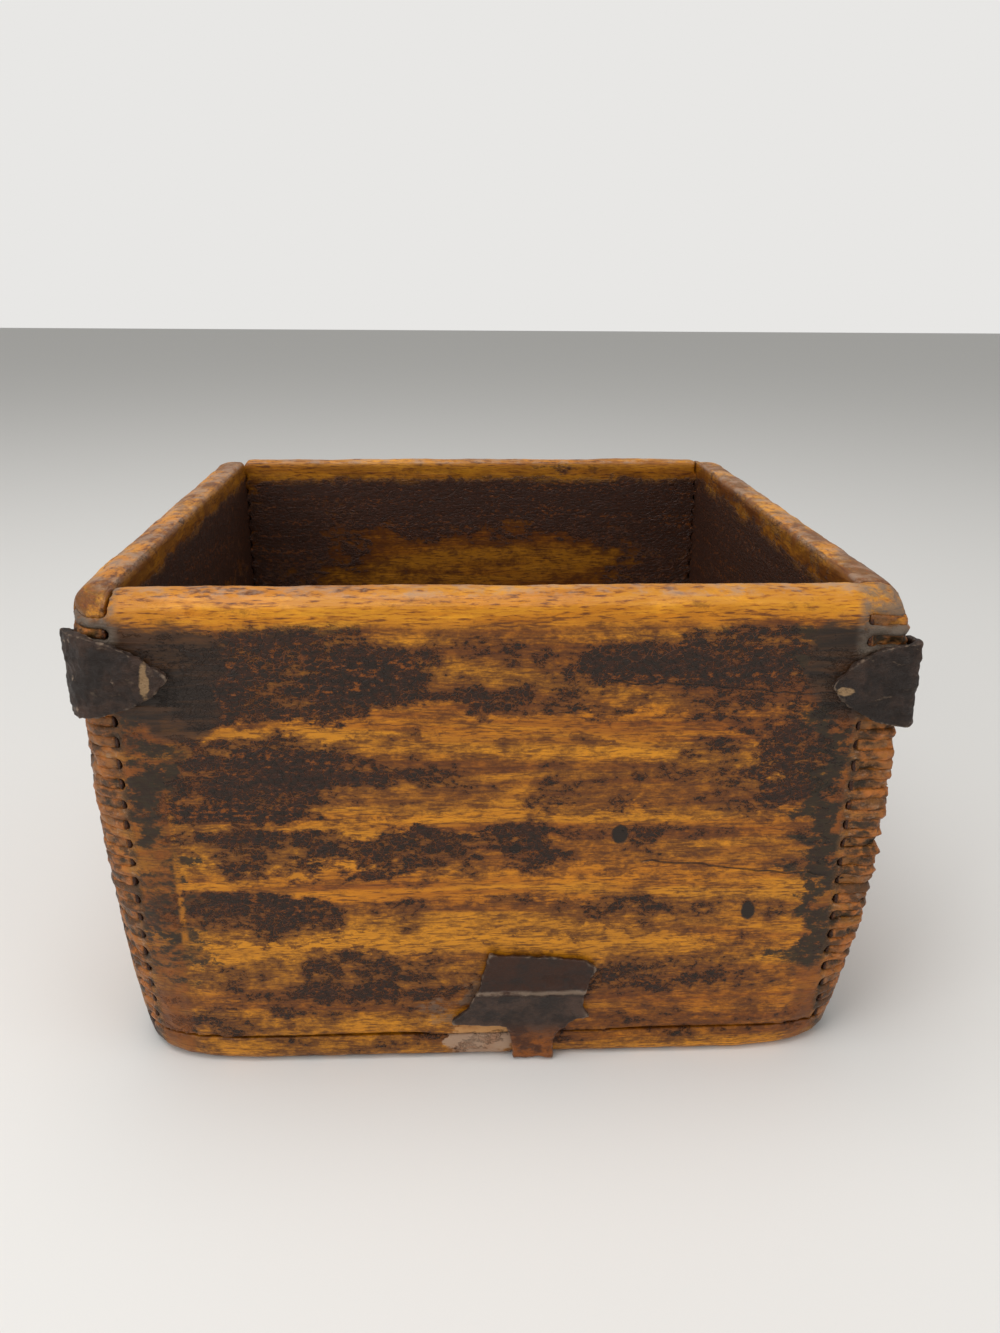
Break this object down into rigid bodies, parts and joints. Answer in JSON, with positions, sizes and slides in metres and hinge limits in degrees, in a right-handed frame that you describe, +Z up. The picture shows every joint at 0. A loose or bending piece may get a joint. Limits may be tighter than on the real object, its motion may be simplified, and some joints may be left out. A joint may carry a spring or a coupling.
{
  "type": "grain measure",
  "caption": "Square open-topped wooden grain measure with fine finger-jointed corners, a nailed bottom board and worn iron corner straps.",
  "frame": {"origin": "middle of the underside, on the surface that it stands on", "axes": "+Z up; the front face, with the folded strap stub, looks towards -Y; +X is to the right of it"},
  "size_m": [0.1586, 0.1586, 0.101],
  "materials": {
    "board_wood": "worn amber lacquer, crackled and darkened",
    "bottom_wood": "worn, dark with handling",
    "strap_iron": "pitted brown-black hand-forged iron",
    "nail_iron": "rusted iron"
  },
  "bodies": {
    "root": {"front_board": "board_wood", "right_board": "board_wood", "back_board": "board_wood", "left_board": "board_wood", "bottom_board": "bottom_wood", "bottom_nail_1": "nail_iron", "bottom_nail_2": "nail_iron", "bottom_nail_3": "nail_iron", "bottom_nail_4": "nail_iron", "bottom_nail_5": "nail_iron", "bottom_nail_6": "nail_iron", "bottom_nail_7": "nail_iron", "bottom_nail_8": "nail_iron", "bottom_nail_9": "nail_iron", "bottom_nail_10": "nail_iron", "bottom_nail_11": "nail_iron", "bottom_nail_12": "nail_iron", "corner_strap_front_right": "strap_iron", "corner_strap_back_right": "strap_iron", "corner_strap_back_left": "strap_iron", "corner_strap_front_left": "strap_iron", "strap_tack_1": "strap_iron", "strap_tack_2": "strap_iron", "strap_tack_3": "strap_iron", "strap_tack_4": "strap_iron", "strap_tack_5": "strap_iron", "strap_tack_6": "strap_iron", "strap_tack_7": "strap_iron", "strap_tack_8": "strap_iron", "bottom_strap_stub": "strap_iron"}
  },
  "joints": []
}
